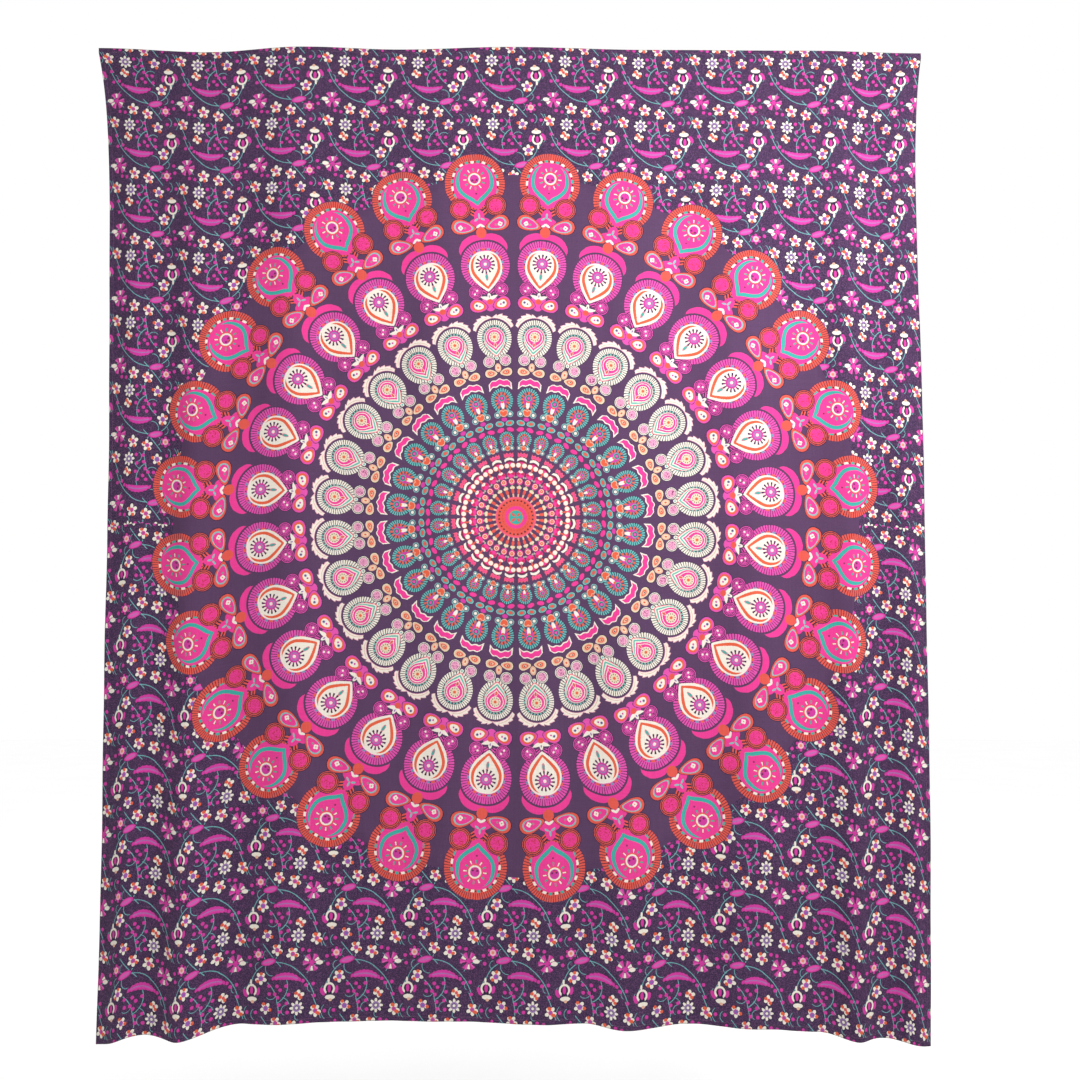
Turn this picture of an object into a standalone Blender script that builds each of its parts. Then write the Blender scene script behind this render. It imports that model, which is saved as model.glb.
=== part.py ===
"""A printed cotton tapestry, hung by its top hem with its back to a wall.

It is one rectangle of cloth with a double-turned hem on each side, and each hem is held by a
lockstitch: a needle thread that shows on the front and a bobbin thread that shows on the back.
The origin is at the middle of the top hem's flat back face. +X runs to the right as seen from
the front, +Y points into the wall and +Z points up, so the whole cloth is at Y = 0 or in front.
"""

import math

import bmesh
import bpy
import numpy as np

# The finished cloth, measured flat on a table.
CLOTH_WIDTH = 2.10
CLOTH_HEIGHT = 2.40
CLOTH_THICKNESS = 0.0004

# The hem: its depth, the two layers turned in behind the panel, and the seam's place in it.
HEM_DEPTH = 0.012
HEM_THICKNESS = 0.0009
SEAM_INSET = 0.0015
THREAD_RADIUS = 0.00025

# The clearance kept between layers that touch on the real cloth.
LAYER_GAP = 0.0003

# How the cloth hangs. It isn't pulled quite tight, its free sides draw in below the top hem by
# SIDE_SLACK, and it bows and leans a little to one side.
EASE_SHARE = 0.006
SIDE_SLACK = 0.026
SLACK_START = 0.12
BOW = 0.0115
LEAN = 0.013

# How far each place along the top edge is above the middle of that edge: (across, rise).
TOP_LINE = (
    (-1.05, -0.003), (-0.77, -0.014), (-0.53, 0.001), (-0.28, -0.007), (0.0, 0.0),
    (0.36, -0.008), (0.76, -0.010), (1.05, -0.017),
)

# How far each place along the bottom edge drops below the level line: (across, drop).
BOTTOM_LINE = (
    (-1.05, 0.051), (-0.92, 0.030), (-0.81, 0.040), (-0.64, 0.006), (-0.20, 0.000),
    (0.08, 0.008), (0.17, 0.004), (0.27, 0.019), (0.42, 0.007), (0.60, 0.016),
    (0.73, 0.024), (0.84, 0.041), (0.90, 0.036), (1.05, 0.054),
)

# The soft vertical folds: (across, half width, depth near the top, depth at the bottom).
FOLDS = (
    (-0.98, 0.055, 0.018, 0.037),
    (-0.81, 0.060, 0.016, 0.042),
    (-0.56, 0.095, 0.017, 0.019),
    (-0.18, 0.110, 0.012, 0.011),
    (0.08, 0.080, 0.007, 0.013),
    (0.27, 0.085, 0.010, 0.024),
    (0.59, 0.115, 0.016, 0.020),
    (0.84, 0.060, 0.019, 0.040),
    (1.00, 0.060, 0.019, 0.034),
)
FOLD_START = 0.16

# How finely the hanging surface is divided.
COLUMNS = 48
ROWS = 13
ROW_CROWDING = 1.6


def eased(points, across):
    """Height of a line that passes through the points and is level at each of them."""
    places, heights = np.transpose(points)
    left = np.clip(np.searchsorted(places, across) - 1, 0, len(places) - 2)
    share = np.clip((across - places[left]) / (places[left + 1] - places[left]), 0, 1)
    return heights[left] + (heights[left + 1] - heights[left]) * (1 - np.cos(np.pi * share)) / 2


def fold_depths(down):
    """Depth of every fold, one more axis than down: none in the top hem, then growing downwards."""
    below = np.maximum(np.asarray(down, float)[..., None] - HEM_DEPTH, 0)
    upper, lower = np.transpose(FOLDS)[2:]
    share = np.clip(below / (CLOTH_HEIGHT - HEM_DEPTH), 0, 1)
    return (1 - np.exp(-below / FOLD_START)) * (upper + (lower - upper) * share)


def hang(across, down, ahead):
    """Where points of the flat cloth lie once it hangs.

    across is measured from the middle and down from the top edge, both on the flat cloth. ahead
    is how far in front of the hem's back face the layer lies. Each fold is a bell-shaped ridge,
    and it takes in the width that its bell uses up. The slack of the free sides is taken in
    with the fifth power of the distance from the middle, so it stays close to the edges.
    """
    across, down = np.broadcast_arrays(np.asarray(across, float), np.asarray(down, float))
    centres, half_widths = np.transpose(FOLDS)[:2]
    depths = fold_depths(down)
    away = (across[..., None] - centres) / half_widths
    forward = (depths * np.exp(-away**2)).sum(-1)
    used = math.sqrt(math.pi / 8) * depths**2 / half_widths
    taken = (used * (np.tanh(1.6 * away) - np.tanh(-1.6 * centres / half_widths)) / 2).sum(-1)
    started = 1 - np.exp(-np.maximum(down - HEM_DEPTH, 0) / SLACK_START)
    slack = SIDE_SLACK * started * (across / (CLOTH_WIDTH / 2)) ** 5
    share = down / CLOTH_HEIGHT
    leant = BOW * 4 * share * (1 - share) + LEAN * share
    x = across * (1 - EASE_SHARE) - slack - taken + leant
    top = HEM_DEPTH / 2 + eased(TOP_LINE, across)
    bottom = HEM_DEPTH / 2 - CLOTH_HEIGHT - eased(BOTTOM_LINE, across)
    # The top hem keeps its true depth, so its seam runs level with its edge.
    below = np.clip((down - HEM_DEPTH) / (CLOTH_HEIGHT - 2 * HEM_DEPTH), 0, 1)
    kept = np.minimum(down, HEM_DEPTH) + np.maximum(down - CLOTH_HEIGHT + HEM_DEPTH, 0)
    z = top - kept + below * (bottom - top + 2 * HEM_DEPTH)
    return np.stack([x, -ahead - forward, z], -1)


def column_lines(low, high):
    """Places across the cloth from low to high: both ends, and every column between them."""
    inner = CLOTH_WIDTH / 2 - HEM_DEPTH
    lines = np.linspace(-inner, inner, COLUMNS + 1)
    between = lines[(lines > low + LAYER_GAP) & (lines < high - LAYER_GAP)]
    return np.concatenate([[low], between, [high]])


def row_lines(low, high):
    """Places down the cloth from low to high: both ends, and every row between them."""
    share = (np.arange(ROWS + 1) / ROWS) ** ROW_CROWDING
    lines = HEM_DEPTH + (CLOTH_HEIGHT - 2 * HEM_DEPTH) * share
    between = lines[(lines > low + LAYER_GAP) & (lines < high - LAYER_GAP)]
    return np.concatenate([[low], between, [high]])


def finish(name, data, material, collection):
    """Put a mesh or a curve in the scene as one named part with its material."""
    part = bpy.data.objects.new(name, data)
    data.materials.append(material)
    collection.objects.link(part)
    return part


def make_cloth(name, columns, rows, ahead, thickness, material, collection):
    """A layer of cloth: a grid laid on the hanging surface, thickened towards the front."""
    shape = bmesh.new()
    bmesh.ops.create_grid(shape, x_segments=len(columns) - 1, y_segments=len(rows) - 1, size=1)
    mesh = bpy.data.meshes.new(name)
    shape.to_mesh(mesh)
    shape.free()
    places = np.empty(len(mesh.vertices) * 3)
    mesh.vertices.foreach_get("co", places)
    places = (places.reshape(-1, 3) + 1) / 2
    column = np.rint(places[:, 0] * (len(columns) - 1)).astype(int)
    row = np.rint((1 - places[:, 1]) * (len(rows) - 1)).astype(int)
    hung = hang(columns[column], rows[row], ahead)
    mesh.vertices.foreach_set("co", hung.ravel())
    mesh.update()
    part = finish(name, mesh, material, collection)
    wall = part.modifiers.new("cloth thickness", "SOLIDIFY")
    wall.thickness = thickness
    wall.offset = 1
    return part


def make_thread(name, across, down, ahead, material, collection):
    """A sewing thread: a round tube that follows a seam line over the hanging surface."""
    route = hang(across, down, ahead)
    curve = bpy.data.curves.new(name, "CURVE")
    curve.dimensions = "3D"
    spline = curve.splines.new("POLY")
    spline.points.add(len(route) - 1)
    spline.points.foreach_set("co", np.c_[route, np.ones(len(route))].ravel())
    curve.bevel_depth = THREAD_RADIUS
    curve.bevel_resolution = 2
    curve.use_fill_caps = True
    return finish(name, curve, material, collection)


def make_material(name, colour, roughness):
    """A plain finish, neither metal nor clear."""
    material = bpy.data.materials.new(name)
    material.use_nodes = True
    shader = material.node_tree.nodes["Principled BSDF"]
    shader.inputs["Base Color"].default_value = (*colour, 1)
    shader.inputs["Roughness"].default_value = roughness
    shader.inputs["Metallic"].default_value = 0
    material.diffuse_color = (*colour, 1)
    return material


def build_panel(collection):
    """The cloth itself, from edge to edge, in front of its turned hems."""
    cotton = make_material("printed cotton", (0.115, 0.045, 0.110), 0.85)
    side = CLOTH_WIDTH / 2
    columns = np.concatenate([[-side], column_lines(-side + HEM_DEPTH, side - HEM_DEPTH), [side]])
    rows = np.concatenate([[0], row_lines(HEM_DEPTH, CLOTH_HEIGHT - HEM_DEPTH), [CLOTH_HEIGHT]])
    ahead = HEM_THICKNESS + LAYER_GAP
    make_cloth("printed_panel", columns, rows, ahead, CLOTH_THICKNESS, cotton, collection)


def build_hems(collection):
    """The turned-in layers: top and bottom run right across, and the sides fit between them."""
    side = CLOTH_WIDTH / 2
    across = np.concatenate([[-side], column_lines(-side + HEM_DEPTH, side - HEM_DEPTH), [side]])
    down = row_lines(HEM_DEPTH + LAYER_GAP, CLOTH_HEIGHT - HEM_DEPTH - LAYER_GAP)
    layers = (
        ("top_hem", across, np.array([0, HEM_DEPTH])),
        ("bottom_hem", across, np.array([CLOTH_HEIGHT - HEM_DEPTH, CLOTH_HEIGHT])),
        ("left_hem", np.array([-side, -side + HEM_DEPTH]), down),
        ("right_hem", np.array([side - HEM_DEPTH, side]), down),
    )
    for name, columns, rows in layers:
        cotton = make_material(name + " cotton", (0.15, 0.07, 0.13), 0.85)
        make_cloth(name, columns, rows, 0, HEM_THICKNESS, cotton, collection)


def build_needle_threads(collection):
    """The front threads, a little inside each hem's inner fold. The side seams stop at the others."""
    ahead = HEM_THICKNESS + CLOTH_THICKNESS + 2 * LAYER_GAP + THREAD_RADIUS
    seam = HEM_DEPTH - SEAM_INSET
    reach = CLOTH_WIDTH / 2 - SEAM_INSET
    start = seam + 2 * THREAD_RADIUS + LAYER_GAP
    across = column_lines(-reach, reach)
    down = row_lines(start, CLOTH_HEIGHT - start)
    routes = (
        ("top_needle_thread", across, seam),
        ("bottom_needle_thread", across, CLOTH_HEIGHT - seam),
        ("left_needle_thread", seam - CLOTH_WIDTH / 2, down),
        ("right_needle_thread", CLOTH_WIDTH / 2 - seam, down),
    )
    for name, columns, rows in routes:
        thread = make_material(name + " finish", (0.30, 0.08, 0.16), 0.6)
        make_thread(name, columns, rows, ahead, thread, collection)


def build_bobbin_threads(collection):
    """The back threads, in the step at each hem's inner fold, so the hem's back stays flat."""
    ahead = HEM_THICKNESS - THREAD_RADIUS
    seam = HEM_DEPTH + LAYER_GAP + THREAD_RADIUS
    reach = CLOTH_WIDTH / 2 - HEM_DEPTH - LAYER_GAP
    start = seam + THREAD_RADIUS + LAYER_GAP
    across = column_lines(-reach, reach)
    down = row_lines(start, CLOTH_HEIGHT - start)
    routes = (
        ("top_bobbin_thread", across, seam),
        ("bottom_bobbin_thread", across, CLOTH_HEIGHT - seam),
        ("left_bobbin_thread", seam - CLOTH_WIDTH / 2, down),
        ("right_bobbin_thread", CLOTH_WIDTH / 2 - seam, down),
    )
    for name, columns, rows in routes:
        thread = make_material(name + " finish", (0.30, 0.08, 0.16), 0.6)
        make_thread(name, columns, rows, ahead, thread, collection)


def clear_scene():
    for thing in list(bpy.data.objects):
        bpy.data.objects.remove(thing)


def main():
    clear_scene()
    tapestry = bpy.data.collections.new("printed_tapestry")
    bpy.context.scene.collection.children.link(tapestry)
    build_panel(tapestry)
    build_hems(tapestry)
    build_needle_threads(tapestry)
    build_bobbin_threads(tapestry)


main()
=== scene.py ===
"""A printed cotton tapestry, hung by its top hem in front of a wall.

The order is the order of making: the cloth is printed, hung, hemmed and stitched, and then
come the floor, the lights and the camera. Everything is in metres, +Z up, with the wall's
plane at Y = 0 and the cloth's face towards -Y.
"""

import math

import bpy
import numpy as np
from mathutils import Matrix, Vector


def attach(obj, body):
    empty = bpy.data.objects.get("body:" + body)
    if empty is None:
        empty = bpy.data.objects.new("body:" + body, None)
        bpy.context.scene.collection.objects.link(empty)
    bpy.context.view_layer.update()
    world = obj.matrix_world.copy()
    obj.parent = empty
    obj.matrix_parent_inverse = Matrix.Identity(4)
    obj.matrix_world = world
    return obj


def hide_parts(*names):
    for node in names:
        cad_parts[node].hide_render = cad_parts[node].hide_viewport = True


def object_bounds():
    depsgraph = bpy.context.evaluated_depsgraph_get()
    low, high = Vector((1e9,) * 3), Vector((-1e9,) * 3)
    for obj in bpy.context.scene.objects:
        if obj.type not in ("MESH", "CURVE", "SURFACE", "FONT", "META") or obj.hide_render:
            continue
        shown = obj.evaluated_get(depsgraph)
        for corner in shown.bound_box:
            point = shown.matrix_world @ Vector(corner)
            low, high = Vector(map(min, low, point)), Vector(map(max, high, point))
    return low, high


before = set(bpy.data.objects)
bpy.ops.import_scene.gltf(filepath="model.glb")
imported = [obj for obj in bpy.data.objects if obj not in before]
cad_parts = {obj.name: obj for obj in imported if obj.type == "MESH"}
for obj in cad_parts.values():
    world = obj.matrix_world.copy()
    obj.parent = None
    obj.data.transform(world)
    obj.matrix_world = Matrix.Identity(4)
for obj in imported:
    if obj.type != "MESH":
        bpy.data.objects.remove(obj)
cad_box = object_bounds()


# The cloth.
# One width of thin plain-woven cotton, block-printed from edge to edge, 2.10 by 2.40 m when it
# lies flat. It hangs by its top hem: it falls in soft vertical folds and draws in at its sides.

CLOTH_WIDTH = 2.10
CLOTH_HEIGHT = 2.40
CLOTH_THICKNESS = 0.0004
HEM_DEPTH = 0.012

EASE_SHARE = 0.006
SIDE_SLACK = 0.026
SLACK_START = 0.12
BOW = 0.0115
LEAN = 0.013
FOLD_START = 0.16

# How far each place along the top edge is above the middle of that edge: (across, rise).
TOP_LINE = (
    (-1.05, -0.003), (-0.77, -0.014), (-0.53, 0.001), (-0.28, -0.007), (0.0, 0.0),
    (0.36, -0.008), (0.76, -0.010), (1.05, -0.017),
)

# How far each place along the bottom edge drops below the level line: (across, drop).
BOTTOM_LINE = (
    (-1.05, 0.051), (-0.92, 0.030), (-0.81, 0.040), (-0.64, 0.006), (-0.20, 0.000),
    (0.08, 0.008), (0.17, 0.004), (0.27, 0.019), (0.42, 0.007), (0.60, 0.016),
    (0.73, 0.024), (0.84, 0.041), (0.90, 0.036), (1.05, 0.054),
)

# The soft vertical folds: (across, half width, depth near the top, depth at the bottom).
FOLDS = (
    (-0.98, 0.055, 0.018, 0.037),
    (-0.81, 0.060, 0.016, 0.042),
    (-0.56, 0.095, 0.017, 0.019),
    (-0.18, 0.110, 0.012, 0.011),
    (0.08, 0.080, 0.007, 0.013),
    (0.27, 0.085, 0.010, 0.024),
    (0.59, 0.115, 0.016, 0.020),
    (0.84, 0.060, 0.019, 0.040),
    (1.00, 0.060, 0.019, 0.034),
)


def eased(points, across):
    """A line through the points that is level at each: a half cosine wave between neighbours."""
    places, heights = np.transpose(points)
    left = np.clip(np.searchsorted(places, across) - 1, 0, len(places) - 2)
    share = np.clip((across - places[left]) / (places[left + 1] - places[left]), 0, 1)
    return heights[left] + (heights[left + 1] - heights[left]) * (1 - np.cos(np.pi * share)) / 2


def softness(across, below):
    """How far the limp cloth stands forward between its folds: the sum of slow sine waves whose
    crests wander, of short ones that die out below the top hem, and of a curl that falls off
    exponentially from the two free sides. All of it is nought in the top hem."""
    started = 1 - np.exp(-below / 0.25)
    flutes = 0.0022 * (1 + np.sin(across * 34 + 1.3 + 0.8 * np.sin(below * 3.1)))
    crosswise = 0.0012 * (1 + np.sin(below * 21 + 2.0 * np.sin(across * 4.3) + 0.7))
    small = 0.0006 * (1 + np.sin(across * 97 + 1.7 * np.sin(below * 9.0 + across * 5)))
    gathers = 0.0012 * np.exp(-below / 0.16) * (1 + np.sin(across * 74 + 0.9 * np.sin(across * 19)))
    to_side = CLOTH_WIDTH / 2 - np.abs(across)
    curl = 0.006 * np.exp(-to_side / 0.020) * (1 + 0.6 * np.sin(below * 6.5 + across * 2))
    near_top = 1 - np.exp(-below / 0.02)
    return started * (flutes + crosswise + small + curl) + near_top * gathers


def hang(across, down, ahead):
    """Where points of the flat cloth lie once it hangs. across is measured from the middle and
    down from the top edge, on the flat cloth, and ahead is the layer's place in front of the
    wall. Each fold is a bell curve forward, which takes in the width that its slope uses up; the
    free sides draw in with the fifth power of across; the whole cloth bows and leans."""
    across, down, ahead = np.broadcast_arrays(
        *(np.asarray(values, float) for values in (across, down, ahead)))
    below = np.maximum(down - HEM_DEPTH, 0)
    centres, half_widths, upper, lower = np.transpose(FOLDS)
    share = np.clip(below / (CLOTH_HEIGHT - HEM_DEPTH), 0, 1)[..., None]
    depths = (1 - np.exp(-below[..., None] / FOLD_START)) * (upper + (lower - upper) * share)
    away = (across[..., None] - centres) / half_widths
    forward = (depths * np.exp(-away**2)).sum(-1) + softness(across, below)
    used = math.sqrt(math.pi / 8) * depths**2 / half_widths
    taken = (used * (np.tanh(1.6 * away) - np.tanh(-1.6 * centres / half_widths)) / 2).sum(-1)
    slack = SIDE_SLACK * (1 - np.exp(-below / SLACK_START)) * (across / (CLOTH_WIDTH / 2)) ** 5
    share = down / CLOTH_HEIGHT
    leant = BOW * 4 * share * (1 - share) + LEAN * share
    x = across * (1 - EASE_SHARE) - slack - taken + leant
    top = HEM_DEPTH / 2 + eased(TOP_LINE, across)
    bottom = HEM_DEPTH / 2 - CLOTH_HEIGHT - eased(BOTTOM_LINE, across)
    below = np.clip((down - HEM_DEPTH) / (CLOTH_HEIGHT - 2 * HEM_DEPTH), 0, 1)
    kept = np.minimum(down, HEM_DEPTH) + np.maximum(down - CLOTH_HEIGHT + HEM_DEPTH, 0)
    z = top - kept + below * (bottom - top + 2 * HEM_DEPTH)
    return np.stack([x, -ahead - forward, z], -1)


def make_piece(name, points, quads, maps, materials, slots=0, caps=()):
    """Puts a surface of four-sided faces, and the caps that close it, into a mesh. maps holds,
    for each map of the cloth, the place of every corner of every face."""
    corners = np.concatenate([quads.ravel(), *caps])
    sizes = np.array([4] * len(quads) + [len(cap) for cap in caps])
    starts = np.concatenate([[0], np.cumsum(sizes)[:-1]])
    mesh = bpy.data.meshes.new(name)
    mesh.vertices.add(len(points))
    mesh.vertices.foreach_set("co", np.ravel(points).astype(np.float32))
    mesh.loops.add(len(corners))
    mesh.loops.foreach_set("vertex_index", corners.astype(np.int32))
    mesh.polygons.add(len(sizes))
    mesh.polygons.foreach_set("loop_start", starts.astype(np.int32))
    for material in materials:
        mesh.materials.append(material)
    mesh.polygons.foreach_set("material_index", np.broadcast_to(slots, len(sizes)).astype(np.int32))
    mesh.update(calc_edges=True)
    for map_name, places in maps.items():
        layer = mesh.uv_layers.new(name=map_name, do_init=False)
        layer.uv.foreach_set("vector", np.ravel(places).astype(np.float32))
    mesh.shade_smooth()
    piece = bpy.data.objects.new(name, mesh)
    bpy.context.scene.collection.objects.link(piece)
    return piece


PANEL_INSET = 0.0006
PANEL_BACK = 0.0010
PANEL_COLUMNS = 176
PANEL_ROWS = 196
MIDDLE_REACH = 0.853
RIM_REACH = 0.935
HEM_LINES = (0.0012, 0.0035, 0.0065, 0.0092, 0.0105, 0.0118, 0.0145)


def panel_lines(size, parts):
    """Grid lines across one direction of the cloth: close together at both hems, even between."""
    edge = np.concatenate([[PANEL_INSET], HEM_LINES])
    middle = np.linspace(0.02, size - 0.02, parts + 1)
    return np.concatenate([edge, middle, size - edge[::-1]])


def puff(inset):
    """How far the front layer stands off the turned hem: a half sine wave between the outer
    fold and the seam, nought at the seam, which pulls it down."""
    return 0.00045 * np.sin(np.pi * np.clip((inset - 0.0015) / 0.009, 0, 1))


def make_panel(materials):
    """The cloth as a closed shell: a grid of hung points for its face, the same for its back
    behind it, and a rim. One map holds the flat cloth in metres from its middle; the other lays
    the face, the back and the rim side by side for a picture of the finish."""
    across = panel_lines(CLOTH_WIDTH, PANEL_COLUMNS) - CLOTH_WIDTH / 2
    down = panel_lines(CLOTH_HEIGHT, PANEL_ROWS)
    rows, columns = len(down), len(across)
    wide, tall = np.meshgrid(across, down)
    inset = np.minimum(np.minimum(tall, CLOTH_HEIGHT - tall), CLOTH_WIDTH / 2 - np.abs(wide))
    back = PANEL_BACK + puff(inset)
    face_points = hang(wide, tall, back + CLOTH_THICKNESS)
    back_points = hang(wide, tall, back)
    points = np.concatenate([face_points.reshape(-1, 3), back_points.reshape(-1, 3)])
    flat = np.stack([wide, CLOTH_HEIGHT / 2 - tall], -1).reshape(-1, 2)
    flat = np.concatenate([flat, flat])

    front = np.arange(rows * columns).reshape(rows, columns)
    behind = front + rows * columns
    face = np.stack([front[:-1, :-1], front[1:, :-1], front[1:, 1:], front[:-1, 1:]], -1)
    reverse = np.stack([behind[:-1, :-1], behind[:-1, 1:], behind[1:, 1:], behind[1:, :-1]], -1)

    def edge(first, second):
        return np.stack([first[:-1], second[:-1], second[1:], first[1:]], -1)

    rims = [edge(behind[0], front[0]), edge(front[-1], behind[-1]),
            edge(front[:, 0], behind[:, 0]), edge(behind[:, -1], front[:, -1])]
    quads = np.concatenate([face.reshape(-1, 4), reverse.reshape(-1, 4), *rims])

    share = np.stack([tall / CLOTH_HEIGHT, wide / CLOTH_WIDTH + 0.5], -1).reshape(-1, 2)
    face_map = np.array([0.01, 0.01]) + share * np.array([0.98, 0.755])
    back_map = np.array([0.01, 0.80]) + share * np.array([0.98, 0.19])
    sheets = np.concatenate([face_map, back_map])
    baked = [sheets[face.reshape(-1, 4)], sheets[reverse.reshape(-1, 4)]]
    for number, rim in enumerate(rims):
        start = np.arange(len(rim)) / len(rim) * 0.98 + 0.01
        end = start + 0.98 / len(rim)
        low = 0.772 + number * 0.006
        first, second = np.full(len(rim), low), np.full(len(rim), low + 0.004)
        baked.append(np.stack([np.stack([start, first], -1), np.stack([start, second], -1),
                               np.stack([end, second], -1), np.stack([end, first], -1)], 1))
    maps = {"cloth": flat[quads], "OFBake": np.concatenate(baked)}
    nearest = np.hypot(*flat[quads].transpose(2, 0, 1)).min(1)
    furthest = np.hypot(*flat[quads].transpose(2, 0, 1)).max(1)
    slots = np.where(furthest < MIDDLE_REACH, 2, np.where(nearest < RIM_REACH, 1, 0))
    slots[face.size // 4:][:reverse.size // 4] += 3
    return make_piece("cloth_panel", points, quads, maps, materials, slots)


STUDIO_LIGHT = 1.5
MM = 1000
RAYS = 28
FIELD_TILE = (187.5, 167.4)
DISC_REACH = 862


class Term:
    """What one shader node gives. Each + - * / between a term and a number adds one node."""

    def __init__(self, socket):
        self.socket = socket

    def __add__(self, other):
        return work("ADD", self, other)

    def __sub__(self, other):
        return work("SUBTRACT", self, other)

    def __mul__(self, other):
        return work("MULTIPLY", self, other)

    def __truediv__(self, other):
        return work("DIVIDE", self, other)


def add_node(tree, kind, inputs, output=0, **settings):
    """Adds a node, sets it up, and fills or joins the inputs, given by place or by name."""
    node = tree.nodes.new("ShaderNode" + kind)
    for setting, value in settings.items():
        setattr(node, setting, value)
    for place, value in inputs.items():
        if isinstance(value, Term):
            tree.links.new(value.socket, node.inputs[place])
        else:
            node.inputs[place].default_value = value
    return Term(node.outputs[output])


def work(operation, *values, clamp=False):
    """A Math node."""
    tree = next(value.socket.id_data for value in values if isinstance(value, Term))
    return add_node(tree, "Math", dict(enumerate(values)), operation=operation, use_clamp=clamp)


def vector_work(operation, *values, output=0):
    """A Vector Math node. Lengths and distances come from its second output."""
    tree = values[0].socket.id_data
    return add_node(tree, "VectorMath", dict(enumerate(values)), output, operation=operation)


def part(vector, x, y):
    """How far a vector reaches along the direction (x, y)."""
    return vector_work("DOT_PRODUCT", vector, (x, y, 0), output=1)


def inside(distance, reach):
    return work("LESS_THAN", distance, reach)


def between(value, low, high):
    return work("COMPARE", value, (low + high) / 2, (high - low) / 2)


def near(place, *centres):
    """The distance to the nearest of the centres."""
    distance = vector_work("DISTANCE", place, (*centres[0], 0), output=1)
    for centre in centres[1:]:
        distance = work("MINIMUM", distance, vector_work("DISTANCE", place, (*centre, 0), output=1))
    return distance


def squeezed(place, centre, half_long, half_wide, turn):
    """The place seen from centre, along and across an oval whose long axis is turned by turn
    degrees, as shares of its half axes: two dot products."""
    cos, sin = math.cos(math.radians(turn)), math.sin(math.radians(turn))
    ahead = (cos * centre[0] + sin * centre[1]) / half_long
    aside = (cos * centre[1] - sin * centre[0]) / half_wide
    return (part(place, cos / half_long, sin / half_long) - ahead,
            part(place, -sin / half_wide, cos / half_wide) - aside)


def length(x, y):
    joined = add_node(x.socket.id_data, "CombineXYZ", {0: x, 1: y})
    return vector_work("LENGTH", joined, output=1)


def oval(place, centre, half_long, half_wide, turn=0.0):
    """The distance from centre, as a share of an oval's outline in that direction. The oval's
    long axis is turned anticlockwise from the first axis by turn, in degrees."""
    if turn:
        return length(*squeezed(place, centre, half_long, half_wide, turn))
    scaled = vector_work("MULTIPLY_ADD", place, (1 / half_long, 1 / half_wide, 0),
                         (-centre[0] / half_long, -centre[1] / half_wide, 0))
    return vector_work("LENGTH", scaled, output=1)


def teardrop(place, centre, half_long, half_wide, turn, taper):
    """Like oval, but the width falls away towards one end: across is divided by 1 + taper x
    along, so the end at the far side of the turn is blunt and the other is drawn out."""
    along, across = squeezed(place, centre, half_long, half_wide, turn)
    return length(along, across / work("MULTIPLY_ADD", along, taper, 1.0))


def curve(value, points):
    """A smooth line through points of (degrees, height), read at value, 1 for half a turn."""
    tallest = max(height for _, height in points)
    read = add_node(value.socket.id_data, "FloatCurve", {1: value})
    mapping = read.socket.node.mapping
    line = mapping.curves[0].points
    for _ in points[2:]:
        line.new(0.5, 0.5)
    for point, (degrees, height) in zip(line, points):
        point.location = degrees / 180, height / tallest
        point.handle_type = "AUTO_CLAMPED"
    mapping.update()
    return read * tallest


def polar(place, eye):
    """The distance from an eye on the ray, and the turn from outward, 1 for half a turn."""
    away = vector_work("SUBTRACT", place, (0, eye, 0))
    turn = work("ARCTAN2", part(away, 1, 0), part(away, 0, 1)) / math.pi
    return vector_work("LENGTH", away, output=1), turn


def beats(turn, count, share, start=0.0, slant=None):
    """1 for a share of each of count even beats round a full turn: a cosine wave cut off at a
    level. slant, a distance times its lean, turns the beats into strokes that lean over."""
    angle = work("MULTIPLY_ADD", turn, math.pi * count, start)
    if slant is not None:
        angle = angle + slant
    return work("GREATER_THAN", work("COSINE", angle), math.cos(math.pi * share))


class Canvas:
    """The colour of the print so far. Each paint lays an ink over it where the mask is 1."""

    def __init__(self, colour):
        self.colour = colour

    def paint(self, mask, ink):
        self.colour = add_node(self.colour.socket.id_data, "Mix", {0: mask, 6: self.colour, 7: ink},
                               2, data_type="RGBA")

    def discs(self, distance, *rings):
        """Ever smaller discs, each painted over the last: (reach, ink)."""
        for reach, ink in rings:
            self.paint(inside(distance, reach), ink)


def dye(red, green, blue):
    """An ink's colour as shares of light given back: the screen's tone curve is undone, and the
    strength of the studio's light taken out."""
    seen = (np.array([red, green, blue]) / 255 + 0.055) / 1.055
    return (*(seen**2.4 / STUDIO_LIGHT), 1.0)


PLUM = dye(92, 62, 98)
INK_DARK = dye(50, 36, 68)
CREAM = dye(255, 247, 232)
WARM_CREAM = dye(246, 224, 190)
PEACH = dye(246, 190, 163)
CORAL = dye(240, 95, 82)
ORANGE = dye(244, 104, 72)
HOT_PINK = dye(251, 66, 158)
ROSE = dye(252, 100, 130)
ORCHID = dye(240, 88, 182)
MAGENTA = dye(222, 64, 168)
TEAL = dye(66, 182, 172)
PALE_TEAL = dye(142, 200, 200)
LILAC = dye(165, 130, 188)


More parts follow.
